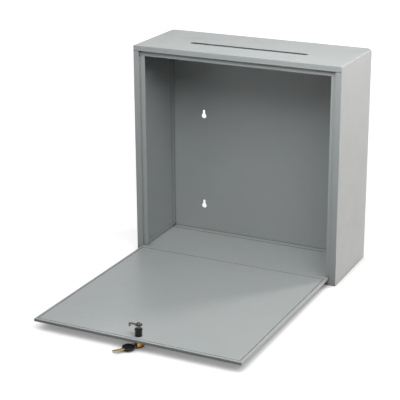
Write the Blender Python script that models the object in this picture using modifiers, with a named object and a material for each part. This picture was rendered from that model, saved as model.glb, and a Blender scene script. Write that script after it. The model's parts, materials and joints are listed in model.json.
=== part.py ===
"""A wall or table mail drop box in sheet steel, standing with its door folded down in front.

Metres, +Z up. The cabinet's front faces -Y. The origin is the centre of the cabinet's underside, so
the table is the plane z = 0 and the wall is the plane of the cabinet's back. Three frames carry what
moves: the door's is on the hinge pin, the lock's is on the plug, and the keys' is where their wire
goes round the lock's head. Inside the door's frame the door lies flat: -Y runs from the pin to the
free edge, and +Z is the face that looks into the box when the door is shut.
"""

import math

import bmesh
import bpy
from mathutils import Matrix, Vector

# The cabinet
WIDTH = 0.4572
HEIGHT = 0.4572
DEPTH = 0.1778
SHEET = 0.0009
GAP = 0.0003
TINY = 0.00001
FRONT = -DEPTH / 2
BACK = DEPTH / 2
SIDE_FLANGE = 0.0127
END_FLANGE = 0.0112
CORNER_BEND = 0.0025
EDGE_BEND = 0.0012
SEAM = 0.0008
WELD_FLANGE = 0.012
CORNER_NOTCH = (0.0060, 0.0040, 0.0055)

# The mail slot in the top
SLOT_LENGTH = 0.263
SLOT_WIDTH = 0.0127
SLOT_SETBACK = 0.0717

# The rim that the shut door rests on
STOP_SETBACK = 0.0062
SIDE_STOP_REACH = 0.0234
TOP_STOP_REACH = 0.0221

# The keyholes in the back
KEYHOLE_SPACING = 0.3048
KEYHOLE_HEIGHTS = (0.060, 0.270)
KEYHOLE_RADIUS = 0.0055
KEYHOLE_NECK = 0.0055
KEYHOLE_RISE = 0.011

# The piano hinge
PIN_SETBACK = 0.0020
PIN_HEIGHT = 0.0135
PIN_RADIUS = 0.0010
KNUCKLE_BORE = 0.0013
KNUCKLE_RADIUS = 0.0022
KNUCKLES = 17
HINGE_LENGTH = 0.4168
LEAF_WIDTH = 0.012

# The door, in its own frame
REST_TILT = math.radians(0.6)
DOOR_WIDTH = 0.4278
DOOR_NEAR = 0.0025
DOOR_FAR = 0.4317
DOOR_OUTSIDE = -PIN_SETBACK
DOOR_INSIDE = 0.0038
DOOR_LIP = 0.005
DOOR_GROOVE = 0.0012
DOOR_EDGE = 0.0009

# The cam lock
LOCK_REACH = DOOR_FAR - 0.0185
BARREL_RADIUS = 0.0055
BARREL_HOLE = 0.0060
PLUG_RADIUS = 0.0042
TAIL_RADIUS = 0.0034
SLEEVE_RADIUS = 0.0066
SLEEVE_LENGTH = 0.0112
STOP_WASHER_RADIUS = 0.0076
STOP_WASHER_THICKNESS = 0.0018
HEAD_RADIUS = 0.00875
HEAD_FLOOR_GAP = 0.00044
CAP_SHEET = 0.00045
CAM_HEIGHT = 0.0210
CAM_THICKNESS = 0.0020
CAM_EYE_RADIUS = 0.0070
CAM_REACH = 0.0193
CAM_WIDTH = 0.0054
CAM_HOOK = 0.005
SCREW_HEAD_RADIUS = 0.0045
SCREW_HEAD_HEIGHT = 0.0020
SCREW_RADIUS = 0.0015
SCREW_LENGTH = 0.008

# The keys and their wire
WIRE_RADIUS = 0.0006
WIRE_HEIGHT = 0.0023
KEYS_HEADING = math.radians(245)
KEY_HEADINGS = (math.radians(230), math.radians(246))
KEY_HOLE_REACH = 0.0162
KEY_HOLE_RADIUS = 0.0022
BOW_LENGTH = 0.021
BOW_WIDTH = 0.0225
BOW_THICKNESS = 0.0030
BOW_HOLE_EDGE = 0.0035
TANG_WIDTH = 0.0060
TANG_LENGTH = 0.0078
KEY_SHEET = 0.0016
BLADE_LENGTH = 0.0205
BLADE_WIDTH = 0.0060
SHOULDER = 0.0007
TOOTH_PITCH = 0.003
TOOTH_DEPTHS = (0.0009, 0.0016, 0.0007, 0.0013, 0.0010)

STEEL_GREY = (0.545, 0.570, 0.575)

PARTS = "mail_drop_box"
CUTTERS = "cutters"

# Turns an outline's own X, Y and depth into world Y, Z and X.
ALONG_X = Matrix(((0, 0, 1, 0), (1, 0, 0, 0), (0, 1, 0, 0), (0, 0, 0, 1)))


# ---------------------------------------------------------------- scene and materials


def clear_scene():
    for obj in list(bpy.data.objects):
        bpy.data.objects.remove(obj, do_unlink=True)


def new_collection(name):
    made = bpy.data.collections.new(name)
    bpy.context.scene.collection.children.link(made)
    return made


def new_material(name, colour, roughness, metallic):
    made = bpy.data.materials.new(name)
    made.use_nodes = True
    shader = made.node_tree.nodes["Principled BSDF"]
    shader.inputs["Base Color"].default_value = (*colour, 1.0)
    shader.inputs["Roughness"].default_value = roughness
    shader.inputs["Metallic"].default_value = metallic
    return made


def finish_part(obj, finish, frame=None, smooth=False):
    """Puts a finished piece in the parts collection, in its material and on the frame that carries it."""
    bpy.data.collections[PARTS].objects.link(obj)
    obj.data.materials.clear()
    obj.data.materials.append(finish)
    obj.parent = frame
    if smooth:
        obj.data.shade_smooth()
        obj.data.set_sharp_from_angle(angle=math.radians(35))
    return obj


def new_frame(name, location, tilt=0.0, parent=None):
    """An empty that carries the pieces of one moving body, turned about X by tilt."""
    frame = bpy.data.objects.new(name, None)
    frame.empty_display_size = 0.03
    frame.location = location
    frame.rotation_euler = (tilt, 0, 0)
    frame.parent = parent
    bpy.data.collections[PARTS].objects.link(frame)
    return frame


# ---------------------------------------------------------------- solids


def object_from(name, bm):
    mesh = bpy.data.meshes.new(name)
    bm.to_mesh(mesh)
    bm.free()
    return bpy.data.objects.new(name, mesh)


def block(name, low, high, rounded=()):
    """A box from its low to its high corner. rounded is a list of (test, radius, segments): each rounds
    the edges whose middle passes the test, in turn."""
    low, high = Vector(low), Vector(high)
    bm = bmesh.new()
    bmesh.ops.create_cube(bm, size=1.0)
    bmesh.ops.scale(bm, vec=high - low, verts=bm.verts)
    bmesh.ops.translate(bm, vec=(low + high) / 2, verts=bm.verts)
    for test, radius, segments in rounded:
        edges = [edge for edge in bm.edges if test((edge.verts[0].co + edge.verts[1].co) / 2)]
        bmesh.ops.bevel(
            bm, geom=edges, offset=radius, segments=segments, profile=0.5, affect="EDGES"
        )
    return object_from(name, bm)


def cylinder(name, radius, low, high, sides=32, along="Z", centre=(0, 0, 0)):
    """A round bar between the levels low and high on the axis it runs along, moved to centre."""
    bm = bmesh.new()
    bmesh.ops.create_cone(
        bm, cap_ends=True, segments=sides, radius1=radius, radius2=radius, depth=high - low
    )
    bmesh.ops.translate(bm, vec=(0, 0, (low + high) / 2), verts=bm.verts)
    turn = {
        "X": Matrix.Rotation(math.pi / 2, 4, "Y"),
        "Y": Matrix.Rotation(-math.pi / 2, 4, "X"),
        "Z": Matrix.Identity(4),
    }[along]
    bm.transform(Matrix.Translation(centre) @ turn)
    return object_from(name, bm)


def outline_solid(name, loops, low, high, turn=Matrix.Identity(4)):
    """A flat outline, its holes included, thickened between the levels low and high. Made as a filled
    curve and turned into a mesh, so that it can be cut and joined."""
    curve = bpy.data.curves.new(name + "_outline", "CURVE")
    curve.dimensions = "2D"
    curve.fill_mode = "BOTH"
    curve.extrude = (high - low) / 2
    for loop in loops:
        spline = curve.splines.new("POLY")
        spline.points.add(len(loop) - 1)
        spline.use_cyclic_u = True
        for point, (x, y) in zip(spline.points, loop):
            point.co = (x, y, 0, 1)
    drawn = bpy.data.objects.new(name + "_outline", curve)
    bpy.context.scene.collection.objects.link(drawn)
    bpy.context.view_layer.update()
    graph = bpy.context.evaluated_depsgraph_get()
    mesh = bpy.data.meshes.new_from_object(drawn.evaluated_get(graph))
    bpy.data.objects.remove(drawn, do_unlink=True)
    bm = bmesh.new()
    bm.from_mesh(mesh)
    bpy.data.meshes.remove(mesh)
    bmesh.ops.remove_doubles(bm, verts=bm.verts, dist=1e-6)
    bmesh.ops.recalc_face_normals(bm, faces=bm.faces)
    bm.transform(turn @ Matrix.Translation((0, 0, (low + high) / 2)))
    return object_from(name, bm)


def turned(name, profile, closed=False, segments=32):
    """A solid of revolution about Z. The profile runs down its outer side. A closed one makes a ring,
    and an open one starts and ends on the axis."""
    bm = bmesh.new()
    verts = [bm.verts.new((radius, 0, level)) for radius, level in profile]
    pairs = list(zip(verts, verts[1:]))
    if closed:
        pairs.append((verts[-1], verts[0]))
    for pair in pairs:
        bm.edges.new(pair)
    obj = object_from(name, bm)
    screw = obj.modifiers.new("turn", "SCREW")
    screw.angle = math.tau
    screw.steps = screw.render_steps = segments
    screw.use_merge_vertices = True
    screw.merge_threshold = 1e-5
    return obj


def ring_profile(outer, inner, low, high):
    return [(outer, high), (outer, low), (inner, low), (inner, high)]


def combine(obj, other, operation):
    """Cuts other from obj, or joins it on, with a Boolean. other is kept as a helper, out of the render."""
    bpy.data.collections[CUTTERS].objects.link(other)
    other.hide_render = True
    other.display_type = "WIRE"
    modifier = obj.modifiers.new(other.name, "BOOLEAN")
    modifier.operation = operation
    modifier.object = other
    modifier.solver = "EXACT"
    return obj


def cut(obj, *others, frame=None):
    for other in others:
        other.parent = frame
        combine(obj, other, "DIFFERENCE")
    return obj


def join(obj, *others, frame=None):
    for other in others:
        other.parent = frame
        combine(obj, other, "UNION")
    return obj


def arc(radius, start, end, steps, centre=(0.0, 0.0)):
    """Points on an arc, both ends included. Angles in radians."""
    angles = (start + (end - start) * step / steps for step in range(steps + 1))
    return [
        (centre[0] + radius * math.cos(angle), centre[1] + radius * math.sin(angle))
        for angle in angles
    ]


def circle(radius, steps=24, centre=(0.0, 0.0)):
    return arc(radius, 0, math.tau, steps, centre)[:-1]


# ---------------------------------------------------------------- cabinet


def make_cabinet_wrap(paint):
    """The two sides, the top and the front flanges, folded from one sheet."""
    half = WIDTH / 2
    wrap = block(
        "cabinet_wrap",
        (-half, FRONT, 0),
        (half, BACK, HEIGHT),
        (
            (lambda mid: mid.z > HEIGHT - TINY and abs(mid.x) > half - TINY, CORNER_BEND, 4),
            (lambda mid: mid.y < FRONT + TINY and mid.z > TINY, EDGE_BEND, 2),
        ),
    )
    inner = half - SHEET
    beyond = 0.02
    ceiling = HEIGHT - SHEET
    hollow = block(
        "cabinet_hollow",
        (-inner, FRONT + SHEET, -beyond),
        (inner, BACK + beyond, ceiling),
        ((lambda mid: mid.z > ceiling - TINY and abs(mid.x) > inner - TINY, CORNER_BEND - SHEET, 3),),
    )
    mouth = half - SIDE_FLANGE
    doorway = block(
        "doorway_cutter",
        (-mouth, FRONT - beyond, -beyond),
        (mouth, FRONT + 2 * SHEET, HEIGHT - END_FLANGE),
    )
    toe = block(
        "bottom_flange_cutter",
        (-inner, FRONT - beyond, -beyond),
        (inner, FRONT + 2 * SHEET, END_FLANGE + GAP),
    )
    cut(wrap, hollow, doorway, toe, slot_cutter())
    for side, word in ((-1, "left"), (1, "right")):
        ends = sorted((side * (mouth - SHEET), side * inner))
        cut(wrap, block(
            f"flange_seam_{word}_cutter",
            (ends[0], FRONT - beyond, HEIGHT - END_FLANGE - SEAM),
            (ends[1], FRONT + 2 * SHEET, HEIGHT - END_FLANGE),
        ))
        cut(wrap, corner_notch(f"wrap_notch_{word}_cutter", side, 0.0))
    return finish_part(wrap, paint)


def slot_cutter():
    """The mail slot's outline: a long opening with round ends."""
    radius = SLOT_WIDTH / 2
    reach = SLOT_LENGTH / 2 - radius
    quarter = math.pi / 2
    outline = arc(radius, -quarter, quarter, 8, (reach, 0))
    outline += arc(radius, quarter, 3 * quarter, 8, (-reach, 0))
    place = Matrix.Translation((0, FRONT + SLOT_SETBACK, 0))
    return outline_solid("mail_slot_cutter", [outline], HEIGHT - 0.01, HEIGHT + 0.01, place)


def corner_notch(name, side, growth):
    """The bend relief at a top back corner, made larger by growth for a piece that sits inside."""
    along, deep, tall = (size + growth for size in CORNER_NOTCH)
    xs = sorted((side * (WIDTH / 2 - along), side * (WIDTH / 2 + 0.01)))
    return block(name, (xs[0], BACK - deep, HEIGHT - tall), (xs[1], BACK + 0.01, HEIGHT + 0.01))


def make_bottom_panel(paint):
    """The floor, with a front flange that closes the doorway below and welded flanges up each side."""
    half = WIDTH / 2 - SHEET - GAP
    panel = block(
        "bottom_panel",
        (-half, FRONT, 0),
        (half, BACK, END_FLANGE),
        ((lambda mid: mid.y < FRONT + TINY and mid.z < TINY, EDGE_BEND, 2),),
    )
    tray = block(
        "floor_tray_cutter",
        (-half + SHEET, FRONT + SHEET, SHEET),
        (half - SHEET, BACK + 0.02, 0.03),
    )
    behind = block(
        "floor_back_cutter",
        (-half - 0.01, BACK - SHEET - WELD_FLANGE - 2 * GAP, SHEET),
        (half + 0.01, BACK + 0.02, 0.03),
    )
    return finish_part(cut(panel, tray, behind), paint)


def make_back_panel(paint):
    """The back, a shallow tray welded inside the sides, top and floor, with four keyholes."""
    half = WIDTH / 2 - SHEET - GAP
    low = SHEET + GAP
    high = HEIGHT - SHEET - GAP
    front = BACK - SHEET - WELD_FLANGE
    panel = block(
        "back_panel",
        (-half, front, low),
        (half, BACK, high),
        ((lambda mid: mid.z > high - TINY and abs(mid.x) > half - TINY, CORNER_BEND - SHEET - GAP, 2),),
    )
    cut(panel, block(
        "back_tray_cutter",
        (-half + SHEET, front - 0.02, low + SHEET),
        (half - SHEET, BACK - SHEET, high - SHEET),
    ))
    for side, word in ((-1, "left"), (1, "right")):
        cut(panel, corner_notch(f"back_notch_{word}_cutter", side, GAP + SHEET))
        corner_low = block(
            f"back_toe_notch_{word}_cutter",
            (side * half - 0.004, front - 0.02, low - 0.01),
            (side * half + 0.004, BACK - SHEET, low + 0.004),
        )
        cut(panel, corner_low)
        for level, height in enumerate(KEYHOLE_HEIGHTS):
            cut(panel, keyhole_cutter(f"keyhole_{word}_{level}_cutter", side * KEYHOLE_SPACING / 2, height))
    return finish_part(panel, paint)


def keyhole_cutter(name, x, z):
    """A round entry with a narrow neck above it, where the screw's shank ends up."""
    neck = KEYHOLE_NECK / 2
    root = math.asin(neck / KEYHOLE_RADIUS)
    quarter = math.pi / 2
    outline = arc(KEYHOLE_RADIUS, quarter + root, quarter - root + math.tau, 20)
    outline += arc(neck, 0, math.pi, 8, (0, KEYHOLE_RISE))
    place = Matrix.Translation((x, BACK, z)) @ Matrix.Rotation(math.pi / 2, 4, "X")
    return outline_solid(name, [outline], -0.01, 0.01, place)


def stop_profile(flange, reach):
    """The Z section of the rim: a leg welded behind the flange, a return wall and the lip. Its first
    number runs inward from the outer face, and its second runs back from the front face."""
    back_of_flange = SHEET + GAP
    outer = SHEET + GAP
    return [
        (outer, back_of_flange),
        (flange, back_of_flange),
        (flange, STOP_SETBACK),
        (reach, STOP_SETBACK),
        (reach, STOP_SETBACK + SHEET),
        (flange - SHEET, STOP_SETBACK + SHEET),
        (flange - SHEET, back_of_flange + SHEET),
        (outer, back_of_flange + SHEET),
    ]


def make_door_stops(paint):
    """The rim round the doorway. The top piece runs over the ends of the side pieces."""
    side_profile = stop_profile(SIDE_FLANGE, SIDE_STOP_REACH)
    side_low = END_FLANGE + 2 * GAP
    side_high = HEIGHT - TOP_STOP_REACH - GAP
    for side, word in ((-1, "left"), (1, "right")):
        outline = [(side * (WIDTH / 2 - inward), FRONT + back) for inward, back in side_profile]
        finish_part(outline_solid(f"door_stop_{word}", [outline], side_low, side_high), paint)
    top_profile = stop_profile(END_FLANGE, TOP_STOP_REACH)
    outline = [(FRONT + back, HEIGHT - inward) for inward, back in top_profile]
    half = WIDTH / 2 - 3 * SHEET
    finish_part(outline_solid("door_stop_top", [outline], -half, half, ALONG_X), paint)


def make_lock_strike(paint):
    """The angle under the top that the cam's hook swings in behind."""
    half = 0.022
    thickness = 0.0015
    catch = FRONT + PIN_SETBACK + DOOR_INSIDE + CAM_HEIGHT - CAM_HOOK - 2 * GAP
    top = HEIGHT - SHEET - GAP
    reach = 0.0183
    length = 0.014
    outline = [
        (catch - thickness, top),
        (catch - thickness, top - reach),
        (catch, top - reach),
        (catch, top - thickness),
        (catch + length, top - thickness),
        (catch + length, top),
    ]
    finish_part(outline_solid("lock_strike", [outline], -half, half, ALONG_X), paint)


# ---------------------------------------------------------------- hinge


def knuckle_ends(first):
    """The ends along X of every second knuckle, from the first or the second."""
    pitch = HINGE_LENGTH / KNUCKLES
    for index in range(first, KNUCKLES, 2):
        start = -HINGE_LENGTH / 2 + index * pitch
        yield start + 2 * GAP / 3, start + pitch - 2 * GAP / 3


def knuckle_outline(web_low, web_high, web_reach, facing):
    """A knuckle's circle with a web that joins it to its leaf. The web lies between two levels measured
    across it, and runs out to web_reach. facing is the direction it runs in, in radians."""
    start = math.asin(web_high / KNUCKLE_RADIUS)
    end = math.asin(web_low / KNUCKLE_RADIUS) + math.tau
    outline = arc(KNUCKLE_RADIUS, start, end, 18)
    outline += [(web_reach, web_low), (web_reach, web_high)]
    cos, sin = math.cos(facing), math.sin(facing)
    return [(cos * x - sin * y, sin * x + cos * y) for x, y in outline]


def knuckles(name, first, outline):
    """One mesh that holds every knuckle of a leaf, at its place along the pin."""
    bm = bmesh.new()
    for low, high in knuckle_ends(first):
        one = outline_solid(name, [outline], low, high, ALONG_X)
        bm.from_mesh(one.data)
        bpy.data.meshes.remove(one.data)
    return object_from(name, bm)


def bore_cutter(name):
    return cylinder(name, KNUCKLE_BORE, -HINGE_LENGTH / 2 - 0.01, HINGE_LENGTH / 2 + 0.01, 16, "X")


def make_hinge(paint, steel, cabinet_hinge, door_frame):
    """A piano hinge: a leaf welded behind the bottom flange, a leaf on the door's edge, and the pin."""
    half = HINGE_LENGTH / 2
    behind = SHEET + GAP - PIN_SETBACK
    leaf_top = -KNUCKLE_RADIUS - GAP
    leaf = block("hinge_leaf_cabinet", (-half, behind, -LEAF_WIDTH), (half, behind + SHEET, leaf_top))
    below = knuckle_outline(behind, behind + SHEET, -leaf_top + 0.0004, -math.pi / 2)
    join(leaf, knuckles("cabinet_knuckles", 0, below), frame=cabinet_hinge)
    cut(leaf, bore_cutter("cabinet_bore_cutter"), frame=cabinet_hinge)
    finish_part(leaf, paint, cabinet_hinge)

    strip_low = DOOR_INSIDE - SHEET
    outline = [
        (-DOOR_NEAR, DOOR_INSIDE),
        (-DOOR_NEAR - LEAF_WIDTH, DOOR_INSIDE),
        (-DOOR_NEAR - LEAF_WIDTH, strip_low),
        (-DOOR_NEAR - SHEET, strip_low),
        (-DOOR_NEAR - SHEET, KNUCKLE_BORE),
        (-DOOR_NEAR, KNUCKLE_BORE),
    ]
    leaf = outline_solid("hinge_leaf_door", [outline], -half, half, ALONG_X)
    web_low = -KNUCKLE_RADIUS + 0.00001
    beside = knuckle_outline(web_low, -KNUCKLE_BORE, DOOR_NEAR + SHEET / 2, math.pi)
    join(leaf, knuckles("door_knuckles", 1, beside), frame=door_frame)
    cut(leaf, bore_cutter("door_bore_cutter"), frame=door_frame)
    finish_part(leaf, paint, door_frame)

    pin = cylinder("hinge_pin", PIN_RADIUS, -half - 0.0005, half + 0.0005, 16, "X")
    finish_part(pin, steel, cabinet_hinge, smooth=True)


# ---------------------------------------------------------------- door


def make_door_pan(paint, frame):
    """The outer skin, its folded edges and the narrow lips turned in round the inner panel."""
    half = DOOR_WIDTH / 2
    pan = block(
        "door_outer_pan",
        (-half, -DOOR_FAR, DOOR_OUTSIDE),
        (half, -DOOR_NEAR, DOOR_INSIDE),
        ((lambda mid: True, DOOR_EDGE, 2),),
    )
    inside = block(
        "door_hollow_cutter",
        (-half + SHEET, -DOOR_FAR + SHEET, DOOR_OUTSIDE + SHEET),
        (half - SHEET, -DOOR_NEAR - SHEET, DOOR_INSIDE - SHEET),
    )
    lip = half - DOOR_LIP
    open_top = block(
        "door_opening_cutter",
        (-lip, -DOOR_FAR + DOOR_LIP, DOOR_INSIDE - 2 * SHEET),
        (lip, 0.01, DOOR_INSIDE + 0.01),
    )
    hinge_side = block(
        "door_hinge_side_cutter",
        (-lip, -DOOR_NEAR - 2 * SHEET, KNUCKLE_BORE - GAP),
        (lip, 0.01, DOOR_INSIDE + 0.01),
    )
    hole = cylinder("pan_lock_hole_cutter", BARREL_HOLE, -0.01, 0.01, 32, "Z", (0, -LOCK_REACH, 0))
    cut(pan, inside, open_top, hinge_side, hole, frame=frame)
    return finish_part(pan, paint, frame)


def make_door_inner_panel(paint, frame):
    """The flat inner face, a shallow tray that stands inside the outer pan."""
    half = DOOR_WIDTH / 2 - DOOR_LIP - DOOR_GROOVE
    far = -DOOR_FAR + DOOR_LIP + DOOR_GROOVE
    near = -DOOR_NEAR - LEAF_WIDTH - DOOR_GROOVE
    panel = block(
        "door_inner_panel",
        (-half, far, DOOR_OUTSIDE + SHEET + GAP),
        (half, near, DOOR_INSIDE),
        ((lambda mid: mid.z > DOOR_INSIDE - TINY, SHEET / 2, 2),),
    )
    under = block(
        "inner_tray_cutter",
        (-half + SHEET, far + SHEET, -0.01),
        (half - SHEET, near - SHEET, DOOR_INSIDE - SHEET),
    )
    hole = cylinder("panel_lock_hole_cutter", BARREL_HOLE, -0.01, 0.01, 32, "Z", (0, -LOCK_REACH, 0))
    cut(panel, under, hole, frame=frame)
    return finish_part(panel, paint, frame)


# ---------------------------------------------------------------- lock

HEAD_TOP = DOOR_OUTSIDE - GAP
HEAD_BOTTOM = HEAD_FLOOR_GAP - PIN_HEIGHT - LOCK_REACH * math.sin(REST_TILT)
BARREL_TOP = DOOR_INSIDE + 2 * GAP + SLEEVE_LENGTH
WASHER_LOW = BARREL_TOP + GAP
CAM_LOW = DOOR_INSIDE + CAM_HEIGHT
CAM_TOP = CAM_LOW + CAM_THICKNESS
TAIL_TOP = CAM_TOP + GAP


def make_lock_shell(dark, frame):
    """The lock's body: the core of its head, and the barrel that goes through the door."""
    core = HEAD_RADIUS - CAP_SHEET - GAP
    bottom = HEAD_BOTTOM + CAP_SHEET + GAP
    bore = PLUG_RADIUS + GAP
    profile = [
        (BARREL_RADIUS, BARREL_TOP),
        (BARREL_RADIUS, HEAD_TOP),
        (core, HEAD_TOP),
        (core, bottom),
        (bore, bottom),
        (bore, BARREL_TOP),
    ]
    finish_part(turned("lock_shell", profile, closed=True), dark, frame, smooth=True)


def make_lock_face_cap(brass, frame):
    """A drawn cup over the head, open at the top, with a round window for the plug."""
    inner = HEAD_RADIUS - CAP_SHEET
    window = PLUG_RADIUS + 2 * GAP
    top = HEAD_TOP - 2 * GAP
    round_edge = 0.0008
    edge = arc(round_edge, 0, -math.pi / 2, 4, (HEAD_RADIUS - round_edge, HEAD_BOTTOM + round_edge))
    profile = [(HEAD_RADIUS, top), *edge, (window, HEAD_BOTTOM)]
    profile += [(window, HEAD_BOTTOM + CAP_SHEET), (inner, HEAD_BOTTOM + CAP_SHEET), (inner, top)]
    finish_part(turned("lock_face_cap", profile, closed=True), brass, frame, smooth=True)


def make_lock_sleeve(dark, frame):
    """The long round nut that clamps the lock to the door."""
    chamfer = 0.0005
    low = DOOR_INSIDE + GAP
    high = low + SLEEVE_LENGTH
    profile = [
        (SLEEVE_RADIUS - chamfer, high),
        (SLEEVE_RADIUS, high - chamfer),
        (SLEEVE_RADIUS, low),
        (BARREL_RADIUS + GAP, low),
        (BARREL_RADIUS + GAP, high),
    ]
    finish_part(turned("lock_sleeve_nut", profile, closed=True), dark, frame, smooth=True)


def make_stop_washer(dark, frame):
    profile = ring_profile(
        STOP_WASHER_RADIUS, TAIL_RADIUS + GAP, WASHER_LOW, WASHER_LOW + STOP_WASHER_THICKNESS
    )
    finish_part(turned("lock_stop_washer", profile, closed=True), dark, frame, smooth=True)


def make_lock_plug(nickel, frame):
    """The plug that the key turns, with its keyway and the tail that carries the cam."""
    bottom = HEAD_BOTTOM + GAP
    hole_floor = TAIL_TOP - SCREW_LENGTH - GAP
    profile = [
        (SCREW_RADIUS + GAP, TAIL_TOP),
        (TAIL_RADIUS, TAIL_TOP),
        (TAIL_RADIUS, BARREL_TOP),
        (PLUG_RADIUS, BARREL_TOP),
        (PLUG_RADIUS, bottom),
        (0, bottom),
    ]
    plug = turned("lock_plug", [(0, hole_floor), (SCREW_RADIUS + GAP, hole_floor), *profile])
    keyway = block("keyway_cutter", (-0.0006, -0.0033, bottom - 0.002), (0.0006, 0.0033, bottom + 0.009))
    cut(plug, keyway, frame=frame)
    finish_part(plug, nickel, frame, smooth=True)


def make_lock_cam(nickel, frame):
    """The arm that locks the door: an eye on the plug's tail, pointing to -X, its tip bent to the door."""
    half = CAM_WIDTH / 2
    root = math.asin(half / CAM_EYE_RADIUS)
    outline = arc(CAM_EYE_RADIUS, math.pi + root, 3 * math.pi - root, 28)
    outline += [(-CAM_REACH, half * 0.9), (-CAM_REACH, -half * 0.9)]
    cam = outline_solid("lock_cam", [outline, circle(TAIL_RADIUS + GAP)], CAM_LOW, CAM_TOP)
    tip = block(
        "cam_tip",
        (-CAM_REACH, -half * 0.9, CAM_LOW - CAM_HOOK),
        (-CAM_REACH + CAM_THICKNESS, half * 0.9, CAM_LOW + CAM_THICKNESS / 2),
    )
    join(cam, tip, frame=frame)
    finish_part(cam, nickel, frame, smooth=True)


def make_cam_screw(nickel, frame):
    """The pan-head screw that holds the cam on the plug's tail."""
    low = TAIL_TOP + GAP
    dome = arc(SCREW_HEAD_HEIGHT * 0.6, math.pi / 2, 0, 4)
    flat = SCREW_HEAD_RADIUS - SCREW_HEAD_HEIGHT * 0.6
    shoulder = low + SCREW_HEAD_HEIGHT * 0.4
    profile = [(0, low + SCREW_HEAD_HEIGHT), *((flat + x, shoulder + y) for x, y in dome)]
    profile += [
        (SCREW_HEAD_RADIUS, low),
        (SCREW_RADIUS, low),
        (SCREW_RADIUS, low - SCREW_LENGTH + GAP),
        (0, low - SCREW_LENGTH + GAP),
    ]
    screw = turned("cam_screw", profile)
    drive = 0.0006
    slot = block(
        "screw_slot_cutter",
        (-drive, -0.01, low + SCREW_HEAD_HEIGHT * 0.5),
        (drive, 0.01, low + SCREW_HEAD_HEIGHT + 0.002),
    )
    cut(screw, slot, frame=frame)
    finish_part(screw, nickel, frame, smooth=True)


# ---------------------------------------------------------------- keys


def heading(angle, reach, height):
    return Vector((reach * math.cos(angle), reach * math.sin(angle), height))


def bow_level(index):
    """The underside of a bow, counted from the table. The first lies on the wire that runs under it."""
    return 2 * WIRE_RADIUS + 2 * GAP + index * (BOW_THICKNESS + GAP)


def wire_route():
    """Down through both bows' holes, under the first bow, once round the lock's head and back over the
    second bow, where the ends almost meet. Heights are from the table."""
    ring = HEAD_RADIUS + GAP + WIRE_RADIUS
    touch = math.acos(ring / KEY_HOLE_REACH)
    under = GAP + WIRE_RADIUS
    over = bow_level(2) + GAP + 2 * WIRE_RADIUS
    hole = heading(KEYS_HEADING, KEY_HOLE_REACH, 0)
    first = heading(KEYS_HEADING + touch, ring, 0)
    last = heading(KEYS_HEADING - touch, ring, 0)

    def between(start, end, share, height):
        point = start.lerp(end, share)
        return Vector((point.x, point.y, height))

    route = [between(hole, last, 0.10, over), between(hole, last, 0.0, over - 0.0008)]
    route += [between(hole, first, 0.0, height) for height in (0.0060, 0.0040, 0.0020)]
    route += [between(hole, first, 0.06, under), between(hole, first, 0.6, under)]
    turns = 20
    for step in range(turns + 1):
        angle = KEYS_HEADING + touch + (math.tau - 2 * touch) * step / turns
        route.append(heading(angle, ring, WIRE_HEIGHT))
    route += [between(last, hole, 0.12, WIRE_HEIGHT + 0.0012), between(last, hole, 0.50, over - 0.0007)]
    route += [between(last, hole, 0.66, over), between(last, hole, 0.74, over)]
    return route


def make_key_wire(dark, frame, table):
    """The wire that ties the two keys to the lock's head."""
    curve = bpy.data.curves.new("key_wire", "CURVE")
    curve.dimensions = "3D"
    curve.bevel_depth = WIRE_RADIUS
    curve.bevel_resolution = 2
    curve.use_fill_caps = True
    route = wire_route()
    spline = curve.splines.new("POLY")
    spline.points.add(len(route) - 1)
    for point, place in zip(spline.points, route):
        point.co = (place.x, place.y, place.z - table, 1)
    finish_part(bpy.data.objects.new("key_wire", curve), dark, frame)


def bow_outline():
    """A rounded bow, whose hole is at the outline's own origin and whose blade leaves along +X."""
    centre = BOW_LENGTH / 2 - BOW_HOLE_EDGE
    steps = 32
    softness = 0.78
    outline = []
    for step in range(steps):
        cos, sin = math.cos(math.tau * step / steps), math.sin(math.tau * step / steps)
        x = math.copysign(abs(cos) ** softness, cos) * BOW_LENGTH / 2
        y = math.copysign(abs(sin) ** softness, sin) * BOW_WIDTH / 2
        outline.append((centre + x, y))
    return outline


def blade_outline():
    """Tang, shoulders, and a blade with cuts along one side and a pointed tip."""
    bow_end = BOW_LENGTH - BOW_HOLE_EDGE
    tang = TANG_WIDTH / 2
    half = BLADE_WIDTH / 2
    wide = half + SHOULDER
    start = bow_end + GAP
    neck = start + 0.0016
    tip = start + BLADE_LENGTH
    outline = [(bow_end - TANG_LENGTH, tang), (bow_end - TANG_LENGTH, -tang), (start, -tang)]
    outline += [(start, -wide), (neck, -wide), (neck, -half), (tip - 0.0025, -half), (tip, -half / 4)]
    teeth = []
    for index, depth in enumerate(TOOTH_DEPTHS):
        crest = neck + 0.001 + index * TOOTH_PITCH
        cut_start, cut_end = crest + TOOTH_PITCH * 0.35, crest + TOOTH_PITCH * 0.6
        teeth += [(crest, half), (cut_start, half - depth), (cut_end, half - depth)]
    outline += [(tip - 0.001, half / 3)] + teeth[::-1]
    outline += [(neck, half), (neck, wide), (start, wide), (start, tang)]
    return outline


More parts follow.
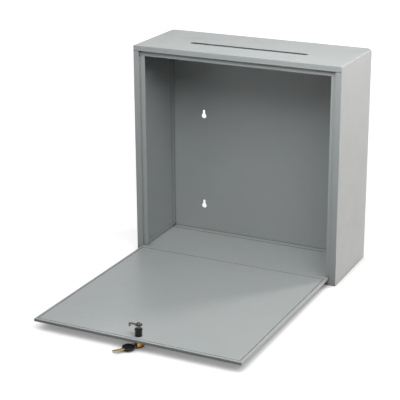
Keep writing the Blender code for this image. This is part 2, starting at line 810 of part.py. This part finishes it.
def make_key(number, facing, brass, black, frame, table):
    """A key whose hole is over the wire. Its brass tang sits in a pocket in the moulded bow."""
    place = heading(KEYS_HEADING, KEY_HOLE_REACH, -table)
    turn = Matrix.Translation(place) @ Matrix.Rotation(facing, 4, "Z")
    low = bow_level(number - 1)
    middle = low + BOW_THICKNESS / 2
    bow_end = BOW_LENGTH - BOW_HOLE_EDGE
    bow = outline_solid(
        f"key_{number}_bow", [bow_outline(), circle(KEY_HOLE_RADIUS, 16)], low, low + BOW_THICKNESS, turn
    )
    pocket_half = TANG_WIDTH / 2 + GAP
    pocket = outline_solid(
        f"key_{number}_pocket_cutter",
        [[
            (bow_end - TANG_LENGTH - GAP, -pocket_half),
            (bow_end + 0.002, -pocket_half),
            (bow_end + 0.002, pocket_half),
            (bow_end - TANG_LENGTH - GAP, pocket_half),
        ]],
        middle - KEY_SHEET / 2 - GAP,
        middle + KEY_SHEET / 2 + GAP,
        turn,
    )
    cut(bow, pocket, frame=frame)
    finish_part(bow, black, frame)
    blade = outline_solid(
        f"key_{number}_blade", [blade_outline()], middle - KEY_SHEET / 2, middle + KEY_SHEET / 2, turn
    )
    finish_part(blade, brass, frame)


# ---------------------------------------------------------------- assembly


def build():
    clear_scene()
    new_collection(PARTS)
    new_collection(CUTTERS)
    paint = new_material("painted_steel", STEEL_GREY, 0.42, 0.0)
    steel = new_material("bright_steel", (0.62, 0.62, 0.60), 0.30, 1.0)
    nickel = new_material("nickel_plate", (0.66, 0.63, 0.58), 0.22, 1.0)
    dark = new_material("dark_zinc", (0.035, 0.038, 0.045), 0.35, 0.6)
    brass = new_material("brass", (0.66, 0.42, 0.17), 0.28, 1.0)
    black = new_material("black_plastic", (0.02, 0.02, 0.022), 0.45, 0.0)

    pin = (0, FRONT + PIN_SETBACK, PIN_HEIGHT)
    cabinet_hinge = new_frame("cabinet_hinge_axis", pin)
    door_frame = new_frame("door_hinge_axis", pin, -REST_TILT)
    lock_frame = new_frame("lock_axis", (0, -LOCK_REACH, 0), parent=door_frame)
    wire_level = WIRE_HEIGHT - PIN_HEIGHT - LOCK_REACH * math.sin(REST_TILT)
    key_frame = new_frame("key_swing_axis", (0, -LOCK_REACH, wire_level), REST_TILT, door_frame)

    make_cabinet_wrap(paint)
    make_bottom_panel(paint)
    make_back_panel(paint)
    make_door_stops(paint)
    make_lock_strike(paint)
    make_hinge(paint, steel, cabinet_hinge, door_frame)
    make_door_pan(paint, door_frame)
    make_door_inner_panel(paint, door_frame)
    make_lock_shell(dark, lock_frame)
    make_lock_face_cap(brass, lock_frame)
    make_lock_sleeve(dark, lock_frame)
    make_stop_washer(dark, lock_frame)
    make_lock_plug(nickel, lock_frame)
    make_lock_cam(nickel, lock_frame)
    make_cam_screw(nickel, lock_frame)
    make_key_wire(dark, key_frame, WIRE_HEIGHT)
    for number, facing in enumerate(KEY_HEADINGS, start=1):
        make_key(number, facing, brass, black, key_frame, WIRE_HEIGHT)


build()
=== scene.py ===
"""The looks of the mail drop box: paint, metals and plastic, small details, studio and camera."""

import json
import math

import bmesh
import bpy
from mathutils import Matrix, Vector


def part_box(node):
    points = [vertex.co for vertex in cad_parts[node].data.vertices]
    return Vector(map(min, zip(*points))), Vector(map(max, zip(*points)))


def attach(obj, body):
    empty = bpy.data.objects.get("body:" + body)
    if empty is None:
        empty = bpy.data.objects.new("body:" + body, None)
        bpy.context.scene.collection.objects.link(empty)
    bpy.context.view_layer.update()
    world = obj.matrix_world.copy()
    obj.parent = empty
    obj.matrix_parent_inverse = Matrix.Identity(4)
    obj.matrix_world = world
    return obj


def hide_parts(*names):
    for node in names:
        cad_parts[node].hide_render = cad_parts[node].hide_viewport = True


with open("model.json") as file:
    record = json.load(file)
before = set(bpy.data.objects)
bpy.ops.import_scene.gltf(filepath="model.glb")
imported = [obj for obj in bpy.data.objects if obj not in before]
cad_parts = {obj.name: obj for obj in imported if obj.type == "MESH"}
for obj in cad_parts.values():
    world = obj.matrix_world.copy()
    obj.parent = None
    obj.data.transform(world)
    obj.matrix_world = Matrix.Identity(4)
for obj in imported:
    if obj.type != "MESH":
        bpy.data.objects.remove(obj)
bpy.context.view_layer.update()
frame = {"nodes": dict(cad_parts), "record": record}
NODES = frame["nodes"]


# ---------------------------------------------------------------- shader building


# Pointiness where edge wear starts and where it is full; a flat surface has 0.5.
POINT_START = 0.535
POINT_FULL = 0.85


class Shader:
    """A material whose nodes are added one by one and joined by name."""

    def __init__(self, name):
        self.material = bpy.data.materials.new(name)
        self.material.use_nodes = True
        self.tree = self.material.node_tree
        self.surface = self.tree.nodes["Principled BSDF"]
        coordinates = self.tree.nodes.new("ShaderNodeTexCoord")
        self.place = coordinates.outputs["Object"]

    def node(self, kind, inputs=(), **settings):
        made = self.tree.nodes.new(kind)
        for key, value in settings.items():
            setattr(made, key, value)
        for key, value in dict(inputs).items():
            self.put(made.inputs[key], value)
        return made

    def put(self, socket, value):
        """Links an output to the socket, or sets a constant on it."""
        if isinstance(value, bpy.types.NodeSocket):
            self.tree.links.new(value, socket)
        elif isinstance(value, tuple) and len(value) == 3 and socket.type == "RGBA":
            socket.default_value = (*value, 1.0)
        else:
            socket.default_value = value

    def set(self, **inputs):
        for key, value in inputs.items():
            self.put(self.surface.inputs[key.replace("_", " ")], value)

    def stretched(self, scale):
        """The object's own coordinates, scaled differently along each axis."""
        made = self.node("ShaderNodeMapping", {"Vector": self.place, "Scale": scale})
        return made.outputs["Vector"]

    def noise(self, size, detail, roughness=0.5, vector=None):
        """Noise whose features are about size metres across."""
        made = self.node(
            "ShaderNodeTexNoise",
            {
                "Vector": vector or self.place,
                "Scale": 1.0 / size,
                "Detail": detail,
                "Roughness": roughness,
            },
        )
        return made.outputs["Fac"]

    def range(self, value, low, high, start=0.0, end=1.0):
        """Maps low..high onto start..end, and holds it there beyond them."""
        made = self.node(
            "ShaderNodeMapRange",
            {"Value": value, "From Min": low, "From Max": high, "To Min": start, "To Max": end},
            interpolation_type="SMOOTHSTEP",
        )
        return made.outputs["Result"]

    def math(self, operation, first, second):
        return self.node("ShaderNodeMath", {0: first, 1: second}, operation=operation).outputs[0]

    def mix(self, share, first, second):
        made = self.node("ShaderNodeMix", data_type="RGBA")
        self.put(made.inputs[0], share)
        self.put(made.inputs[6], first)
        self.put(made.inputs[7], second)
        return made.outputs[2]

    def bump(self, height, depth, strength, onto=None):
        made = self.node(
            "ShaderNodeBump", {"Height": height, "Distance": depth, "Strength": strength}
        )
        if onto:
            self.put(made.inputs["Normal"], onto)
        return made.outputs["Normal"]

    def crevice(self, reach, low, high, most):
        """Up to most in narrow gaps and inside corners, down to 0 on the open surface."""
        made = self.node("ShaderNodeAmbientOcclusion", {"Distance": reach}, samples=8)
        return self.range(made.outputs["AO"], low, high, most, 0.0)

    def worn_edges(self, width):
        """Up to 1 where the mesh's points stand out along convex edges, broken up by noise."""
        pointy = self.node("ShaderNodeNewGeometry").outputs["Pointiness"]
        edge = self.range(pointy, POINT_START, POINT_FULL)
        patchy = self.range(self.noise(width, 4.0), 0.35, 0.65)
        return self.math("MULTIPLY", edge, patchy)


def powder_coat(name, colour, warm, fresh_gloss):
    """Powder coat: fine orange peel, a slight drift in tone, specks, rubbed patches, and painted
    shade darkening the seams and inside corners.
    """
    shader = Shader(name)
    drift = shader.range(shader.noise(0.16, 2.0), 0.30, 0.70)
    cloud = shader.range(shader.noise(0.035, 4.0, 0.6), 0.25, 0.75)
    base = shader.mix(drift, colour, warm)
    darker = tuple(channel * 0.94 for channel in colour)
    base = shader.mix(shader.math("MULTIPLY", cloud, 0.35), base, darker)
    speck = shader.range(shader.noise(0.0009, 1.0), 0.66, 0.74)
    base = shader.mix(shader.math("MULTIPLY", speck, 0.16), base, tuple(c * 0.80 for c in colour))
    # Painted shade: the colour darkens to 0.15 of itself in narrow seams and inside corners, where
    # shade falls.
    painted_seam_shade = shader.crevice(0.007, 0.20, 0.86, 0.80)
    base = shader.mix(painted_seam_shade, base, tuple(c * 0.15 for c in colour))
    peel = shader.noise(0.0021, 2.0, 0.45)
    grain = shader.noise(0.00055, 2.0, 0.5)
    normal = shader.bump(peel, 0.00006, 0.55)
    normal = shader.bump(grain, 0.00001, 0.5, normal)
    rubbed = shader.range(shader.noise(0.05, 5.0, 0.62), 0.42, 0.72)
    gloss = shader.math("ADD", shader.math("MULTIPLY", rubbed, 0.08), fresh_gloss)
    shader.set(Base_Color=base, Roughness=gloss, Normal=normal, Metallic=0.0)
    shader.set(Coat_Weight=0.06, Coat_Roughness=0.25, Specular_IOR_Level=0.36)
    return shader.material


def plated(name, colour, tarnish, roughness, edge=None, dirt=0.5):
    """Plated or polished metal: turning marks, fine scratches, and tarnish in patches."""
    shader = Shader(name)
    patches = shader.range(shader.noise(0.0045, 5.0, 0.62), 0.30, 0.80)
    base = shader.mix(shader.math("MULTIPLY", patches, dirt), colour, tarnish)
    if edge:
        base = shader.mix(shader.worn_edges(0.002), base, edge)
    lines = shader.noise(0.00045, 3.0, 0.6, shader.stretched((1.0, 0.16, 1.0)))
    fine = shader.noise(0.00022, 2.0, 0.5)
    normal = shader.bump(lines, 0.00002, 0.35)
    normal = shader.bump(fine, 0.000006, 0.4, normal)
    dulled = shader.math("MULTIPLY", shader.range(lines, 0.35, 0.7), 0.14)
    rough = shader.math("ADD", dulled, roughness)
    shader.set(Base_Color=base, Roughness=rough, Normal=normal, Metallic=1.0)
    return shader.material


def dark_coating(name, colour, bare, roughness):
    """A dark coating or scale on metal, in uneven patches, worn towards bare on the corners."""
    shader = Shader(name)
    cloud = shader.range(shader.noise(0.003, 4.0, 0.6), 0.3, 0.7)
    base = shader.mix(cloud, colour, tuple(channel * 1.7 for channel in colour))
    base = shader.mix(shader.math("MULTIPLY", shader.worn_edges(0.0012), 0.45), base, bare)
    cast = shader.noise(0.0005, 3.0, 0.55)
    normal = shader.bump(cast, 0.00003, 0.45)
    rough = shader.math("ADD", shader.math("MULTIPLY", cloud, 0.12), roughness)
    shader.set(Base_Color=base, Roughness=rough, Normal=normal, Metallic=0.55)
    return shader.material


def moulded(name, colour, roughness):
    """Moulded black plastic with a spark-eroded texture, polished where fingers rub it."""
    shader = Shader(name)
    texture = shader.noise(0.00045, 2.0, 0.5)
    rub = shader.range(shader.noise(0.006, 3.0), 0.35, 0.7)
    base = shader.mix(rub, colour, tuple(channel * 1.5 + 0.004 for channel in colour))
    normal = shader.bump(texture, 0.00004, 0.6)
    rough = shader.math("SUBTRACT", roughness, shader.math("MULTIPLY", rub, 0.12))
    shader.set(Base_Color=base, Roughness=rough, Normal=normal, Specular_IOR_Level=0.3)
    return shader.material


PAINT = (0.360, 0.380, 0.377)
PAINT_WARM = (0.373, 0.384, 0.378)
FINISH = {
    "painted_steel": powder_coat("powder_coat", PAINT, PAINT_WARM, 0.36),
    "bright_steel": plated("zinc_plate", (0.58, 0.58, 0.56), (0.34, 0.34, 0.33), 0.30),
    "nickel_plate": plated(
        "nickel_plate", (0.13, 0.125, 0.115), (0.05, 0.047, 0.042), 0.08, dirt=0.6
    ),
    "dark_zinc": dark_coating("black_chromate", (0.008, 0.009, 0.013), (0.12, 0.125, 0.13), 0.30),
    "brass": plated(
        "brass_cap", (0.62, 0.32, 0.10), (0.30, 0.13, 0.045), 0.24, edge=(0.78, 0.50, 0.24)
    ),
    "key_brass": plated("key_brass", (0.60, 0.48, 0.25), (0.36, 0.28, 0.15), 0.30),
    "black_plastic": moulded("bow_plastic", (0.006, 0.006, 0.006), 0.46),
    "dark_wire": dark_coating("annealed_wire", (0.030, 0.026, 0.022), (0.20, 0.18, 0.16), 0.42),
}


# ---------------------------------------------------------------- shared helpers

JOINTS = {joint["name"]: joint for joint in frame["record"]["behaviour"]["joints"]}


def joint_frame(name):
    """A frame on a joint's point, whose Z runs along the joint's axis."""
    joint = JOINTS[name]
    turn = Vector((0, 0, 1)).rotation_difference(Vector(joint["axis"])).to_matrix().to_4x4()
    return Matrix.Translation(joint["pos_m"]) @ turn


def add_piece(name, data, body, slot, place=Matrix.Identity(4)):
    """A new visible piece in its finish, on the body that carries it."""
    obj = bpy.data.objects.new(name, data)
    bpy.context.scene.collection.objects.link(obj)
    obj.matrix_world = place
    data.materials.append(FINISH[slot])
    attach(obj, body)
    return obj


# ---------------------------------------------------------------- finished shells

# Points closer than WELD_GAP are joined, faces within FLAT_ANGLE become one, and edges sharper
# than SHARP_ANGLE are rounded. In the shading, larger faces count for more, and faces whose
# areas differ by less than SAME_AREA count alike.
WELD_GAP = 0.000002
FLAT_ANGLE = math.radians(0.6)
SHARP_ANGLE = math.radians(38)
SAME_AREA = 0.000001
LARGE_FACE_WEIGHT = 80
BODY_OF = {
    node: body for body, nodes in frame["record"]["behaviour"]["bodies"].items() for node in nodes
}
SLOT_OF = {part["node"]: part["material_slot"] for part in frame["record"]["subparts"]}

# How wide each node's sharp edges are rounded, in metres.
EDGE_WIDTHS = {
    "cabinet_wrap": 0.00020,
    "bottom_panel": 0.00020,
    "back_panel": 0.00020,
    "door_stop_top": 0.00022,
    "door_stop_left": 0.00022,
    "door_stop_right": 0.00022,
    "lock_strike": 0.00025,
    "hinge_leaf_cabinet": 0.00004,
    "hinge_pin": 0.00020,
    "door_outer_pan": 0.00015,
    "door_inner_panel": 0.00015,
    "hinge_leaf_door": 0.00012,
    "lock_shell": 0.00010,
    "lock_face_cap": 0.00008,
    "lock_plug": 0.00012,
    "lock_stop_washer": 0.00020,
    "lock_cam": 0.00025,
    "cam_screw": 0.00004,
    "key_1_bow": 0.00015,
    "key_2_bow": 0.00015,
    "key_1_blade": 0.00012,
    "key_2_blade": 0.00012,
    "key_wire": 0.00008,
}


def joined_mesh(node):
    """A copy of a CAD node's surface: triangles joined, flat faces whole, shaded smooth."""
    bm = bmesh.new()
    bm.from_mesh(NODES[node].data)
    bmesh.ops.remove_doubles(bm, verts=bm.verts, dist=WELD_GAP)
    bmesh.ops.dissolve_limit(bm, verts=bm.verts, edges=bm.edges, angle_limit=FLAT_ANGLE)
    mesh = bpy.data.meshes.new(f"{node}_finished")
    bm.to_mesh(mesh)
    bm.free()
    custom = mesh.attributes.get("custom_normal")
    if custom:
        mesh.attributes.remove(custom)
    mesh.shade_smooth()
    return mesh


def finish_edges(node, width):
    """A piece that stands for a CAD node, with its sharp edges rounded as real edges are."""
    piece = add_piece(f"{node}_finished", joined_mesh(node), BODY_OF[node], SLOT_OF[node])
    bevel = piece.modifiers.new("soft_edges", "BEVEL")
    bevel.width = width
    bevel.segments = 2
    bevel.limit_method = "ANGLE"
    bevel.angle_limit = SHARP_ANGLE
    bevel.use_clamp_overlap = False
    shading = piece.modifiers.new("even_shading", "WEIGHTED_NORMAL")
    shading.weight = LARGE_FACE_WEIGHT
    shading.thresh = SAME_AREA
    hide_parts(node)


for name, width in EDGE_WIDTHS.items():
    finish_edges(name, width)


# ---------------------------------------------------------------- lock and key details

# The long nut: its wall, grooves, chamfers and spanner slots.
NUT_WALL = 0.0008
NUT_GROOVE = 0.00022
NUT_GROOVE_EDGES = ((0.00035, 0.0), (0.0002, NUT_GROOVE), (-0.0002, NUT_GROOVE), (-0.00035, 0.0))
NUT_GROOVE_HEIGHTS = (0.82, 0.16)
NUT_CHAMFER = 0.0005
NUT_SLOT_HALF = 0.0011
NUT_SLOT_DEPTH = 0.0014
NUT_STEPS = 144

# The keys' bows, whose origin is the key's hole, and how they lie about the lock's head.
BOW_LENGTH = 0.021
BOW_WIDTH = 0.0225
BOW_HOLE_EDGE = 0.0035
BOW_SOFTNESS = 0.78
BOW_STEPS = 40
KEYS_HEADING = math.radians(245)
KEY_HEADINGS = (math.radians(230), math.radians(246))
KEY_HOLE_REACH = 0.0162

# The ridges on the bows: a rim, and three curved grip lines across.
RIDGE_RADIUS = 0.0005
RIDGE_RISE = 0.00013
RIM_INSET = 0.0013
GRIP_PLACES = (0.30, 0.44, 0.58)
GRIP_HALF = BOW_WIDTH / 2 * 0.46
GRIP_BULGES = (0.0, 0.0008, 0.0011, 0.0008, 0.0)


def turned_mesh(name, profile, segments, drop):
    """A closed ring of revolution about Z. drop(index, angle) lowers a point of the profile."""
    bm = bmesh.new()
    rows = []
    for step in range(segments):
        angle = math.tau * step / segments
        row = []
        for index, (radius, level) in enumerate(profile):
            x, y = radius * math.cos(angle), radius * math.sin(angle)
            row.append(bm.verts.new((x, y, level - drop(index, angle))))
        rows.append(row)
    count = len(profile)
    for row, following in zip(rows, rows[1:] + rows[:1]):
        for index in range(count):
            after = (index + 1) % count
            bm.faces.new((row[index], row[after], following[after], following[index]))
    bmesh.ops.recalc_face_normals(bm, faces=bm.faces)
    mesh = bpy.data.meshes.new(name)
    bm.to_mesh(mesh)
    bm.free()
    mesh.shade_smooth()
    mesh.set_sharp_from_angle(angle=math.radians(32))
    return mesh


def make_sleeve_nut():
    """The long nut as turned: chamfered ends, two shallow grooves, four spanner slots on top."""
    low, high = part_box("lock_sleeve_nut")
    place = joint_frame("lock_turn")
    outer = (high.x - low.x) / 2
    bore = outer - NUT_WALL
    lean = outer * math.sin(place.to_quaternion().angle)
    foot = low.z + lean - place.translation.z
    top = high.z - lean - place.translation.z
    profile = [(bore, top), (outer - NUT_CHAMFER, top), (outer, top - NUT_CHAMFER)]
    rim_points = len(profile)
    for share in NUT_GROOVE_HEIGHTS:
        level = foot + share * (top - foot)
        profile += [(outer - depth, level + offset) for offset, depth in NUT_GROOVE_EDGES]
    profile += [(outer, foot + NUT_CHAMFER), (outer - NUT_CHAMFER, foot), (bore, foot)]

    def slot_drop(index, angle):
        away = abs((angle + math.pi / 4) % (math.pi / 2) - math.pi / 4)
        return NUT_SLOT_DEPTH if index < rim_points and away < NUT_SLOT_HALF / outer else 0.0

    name = "lock_sleeve_nut_turned"
    mesh = turned_mesh(name, profile, NUT_STEPS, slot_drop)
    nut = add_piece(name, mesh, "door", "dark_zinc", place)
    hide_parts("lock_sleeve_nut")


def bow_loop(inset):
    """A bow's rounded outline, drawn in by inset, with the key's hole at its origin."""
    centre = BOW_LENGTH / 2 - BOW_HOLE_EDGE
    points = []
    for step in range(BOW_STEPS):
        angle = math.tau * step / BOW_STEPS
        cos, sin = math.cos(angle), math.sin(angle)
        x = math.copysign(abs(cos) ** BOW_SOFTNESS, cos) * (BOW_LENGTH / 2 - inset)
        y = math.copysign(abs(sin) ** BOW_SOFTNESS, sin) * (BOW_WIDTH / 2 - inset)
        points.append((centre + x, y))
    return points


def moulded_lines(name, loops, place):
    """Low rounded ridges that stand on a bow's face. loops is a list of (points, closed)."""
    curve = bpy.data.curves.new(name, "CURVE")
    curve.dimensions = "3D"
    curve.bevel_depth = RIDGE_RADIUS
    curve.bevel_resolution = 3
    curve.use_fill_caps = True
    for points, closed in loops:
        spline = curve.splines.new("POLY")
        spline.points.add(len(points) - 1)
        spline.use_cyclic_u = closed
        spline.use_smooth = True
        for point, (x, y) in zip(spline.points, points):
            point.co = (x, y, 0, 1)
    add_piece(name, curve, "keys", "black_plastic", place)


def make_bow_relief(number, facing):
    """The rim and the grip ridges moulded on both faces of a key's bow."""
    low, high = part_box(f"key_{number}_bow")
    axis = JOINTS["key_swing"]["pos_m"]
    hole = Vector((math.cos(KEYS_HEADING), math.sin(KEYS_HEADING), 0)) * KEY_HOLE_REACH
    loops = [(bow_loop(RIM_INSET), True)]
    for share in GRIP_PLACES:
        line = []
        for step, bulge in enumerate(GRIP_BULGES):
            line.append((share * BOW_LENGTH + bulge, GRIP_HALF * (step / 2 - 1)))
        loops.append((line, False))
    levels = {
        "lower": low.z + RIDGE_RADIUS - RIDGE_RISE,
        "upper": high.z - RIDGE_RADIUS + RIDGE_RISE,
    }
    for side, level in levels.items():
        place = Matrix.Translation((axis[0] + hole.x, axis[1] + hole.y, level))
        place @= Matrix.Rotation(facing, 4, "Z")
        moulded_lines(f"key_{number}_bow_relief_{side}", loops, place)


make_sleeve_nut()
for number, facing in enumerate(KEY_HEADINGS, start=1):
    make_bow_relief(number, facing)


# ---------------------------------------------------------------- studio

# The camera's place in metres, and how far it looks down and turns left, in degrees.
CAMERA_PLACE = (1.0124694, -2.3029418, 1.012444)
CAMERA_DIP = 18.544
CAMERA_TURN = 25.212


def floor_material():
    """Pale card that glows: a soft painted contact shadow under whatever stands on it, darkening
    its colour and its glow, and whiter far off.
    """
    shader = Shader("studio_floor")
    tone = shader.range(shader.noise(0.9, 2.0), 0.3, 0.7)
    card = shader.mix(tone, (0.30, 0.30, 0.30), (0.32, 0.32, 0.32))
    # Painted shadow: near whatever stands on the floor, the card's colour turns dark and its glow
    # fades, as a contact shadow.
    painted_contact_shadow = shader.crevice(0.032, 0.0, 0.90, 0.86)
    shader.set(Base_Color=shader.mix(painted_contact_shadow, card, (0.08, 0.08, 0.08)), Roughness=0.65)
    reach = shader.node("ShaderNodeVectorMath", {0: shader.place}, operation="LENGTH")
    glow = shader.range(reach.outputs["Value"], 0.5, 2.6, 0.80, 1.0)
    outside_contact_shadow = shader.math("SUBTRACT", 1.0, painted_contact_shadow)
    shader.set(Emission_Strength=shader.math("MULTIPLY", glow, outside_contact_shadow))
    shader.set(Emission_Color=(1.0, 1.0, 1.0), Specular_IOR_Level=0.25)
    return shader.material


def make_floor():
    """A wide pale dish: flat under the object and turned up far off, all the way round."""
    flat, bend, height = 4.0, 3.0, 9.0
    bend_steps, turn_steps = 8, 48
    outline = [(0.0, 0.0), (flat / 2, 0.0)]
    for step in range(bend_steps + 1):
        angle = step * math.pi / 2 / bend_steps
        outline.append((flat + bend * math.sin(angle), bend - bend * math.cos(angle)))
    outline.append((flat + bend, height))
    bm = bmesh.new()
    verts = [bm.verts.new((radius, 0, level)) for radius, level in outline]
    edges = [bm.edges.new(pair) for pair in zip(verts, verts[1:])]
    bmesh.ops.spin(
        bm,
        geom=verts + edges,
        cent=(0, 0, 0),
        axis=(0, 0, 1),
        angle=math.tau,
        steps=turn_steps,
    )
    bmesh.ops.remove_doubles(bm, verts=bm.verts, dist=1e-5)
    bmesh.ops.recalc_face_normals(bm, faces=bm.faces)
    mesh = bpy.data.meshes.new("studio_floor")
    bm.to_mesh(mesh)
    bm.free()
    floor = bpy.data.objects.new("studio_floor", mesh)
    bpy.context.scene.collection.objects.link(floor)
    mesh.materials.append(floor_material())
    mesh.shade_smooth()
    floor.visible_diffuse = False


def area_light(name, place, target, width, height, power, colour):
    lamp = bpy.data.lights.new(name, "AREA")
    lamp.shape = "RECTANGLE"
    lamp.size, lamp.size_y = width, height
    lamp.energy = power
    lamp.color = colour
    obj = bpy.data.objects.new(name, lamp)
    obj.location = place
    obj.rotation_euler = (Vector(target) - Vector(place)).to_track_quat("-Z", "Y").to_euler()
    bpy.context.scene.collection.objects.link(obj)


def make_world(strength):
    world = bpy.data.worlds.new("studio")
    world.use_nodes = True
    background = world.node_tree.nodes["Background"]
    background.inputs["Color"].default_value = (1.0, 0.985, 0.96, 1.0)
    background.inputs["Strength"].default_value = strength
    bpy.context.scene.world = world


def make_camera():
    lens = bpy.data.cameras.new("camera")
    lens.lens = 112.3
    lens.sensor_width = 36.0
    lens.shift_x = -0.05
    lens.shift_y = -0.05
    lens.clip_start, lens.clip_end = 0.05, 60.0
    camera = bpy.data.objects.new("camera", lens)
    camera.location = CAMERA_PLACE
    camera.rotation_euler = (math.radians(90 - CAMERA_DIP), 0, math.radians(CAMERA_TURN))
    bpy.context.scene.collection.objects.link(camera)
    bpy.context.scene.camera = camera


make_floor()
area_light("key_light", (1.60, 1.73, 1.90), (0, 0, 0.10), 0.5, 0.5, 39, (1.0, 0.965, 0.94))
area_light("top_light", (0.28, -0.68, 1.15), (0, -0.20, 0.20), 0.9, 0.8, 16.5, (0.96, 0.985, 1.0))
area_light("side_light", (2.4, 0.40, 0.12), (0.2, 0, 0.10), 0.9, 0.9, 46, (1.0, 0.935, 0.915))
area_light("fill_light", (-2.3, -2.1, 1.2), (0, 0, 0.2), 1.3, 1.3, 2, (1.0, 0.99, 0.97))
area_light("back_light", (1.3, 2.8, 0.30), (0, 0.1, 0.2), 1.0, 0.8, 8, (1.0, 0.98, 0.96))
make_world(0.02)
make_camera()
bpy.context.scene.view_settings.view_transform = "Standard"
